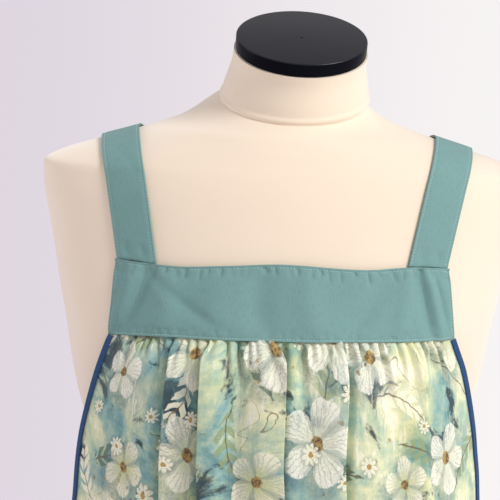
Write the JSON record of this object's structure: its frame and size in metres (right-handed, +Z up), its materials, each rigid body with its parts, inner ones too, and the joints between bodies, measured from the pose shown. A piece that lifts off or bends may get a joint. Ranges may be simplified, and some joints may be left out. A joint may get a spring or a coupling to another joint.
{
  "type": "pinafore smock on a limbless dress form",
  "caption": "Sleeveless slip-on pinafore smock with straight yokes, wide straps and a gathered skirt, worn on a padded dress form that stands on a round base.",
  "frame": {"origin": "on the floor at the middle of the round base, on the pole's axis", "axes": "+Z up, the garment's front faces -Y, its left side as seen from the front is -X"},
  "size_m": [0.4574, 0.3928, 1.4728],
  "materials": {
    "jersey": "fine cream jersey stretched over padding",
    "cap_satin": "black satin lacquer",
    "stand_paint": "black satin powder coat",
    "yoke_cotton": "plain woven teal cotton",
    "printed_cotton": "plain woven cotton with an all-over watercolour print",
    "navy_bias": "folded bias-cut navy cotton"
  },
  "bodies": {
    "root": {"form_torso": "jersey", "neck_cap": "cap_satin", "stand_pole": "stand_paint", "stand_collar": "stand_paint", "stand_base": "stand_paint", "front_yoke": "yoke_cotton", "back_yoke": "yoke_cotton", "strap_left": "yoke_cotton", "strap_right": "yoke_cotton", "front_skirt": "printed_cotton", "back_skirt": "printed_cotton", "armhole_binding_left": "navy_bias", "armhole_binding_right": "navy_bias"}
  },
  "joints": []
}
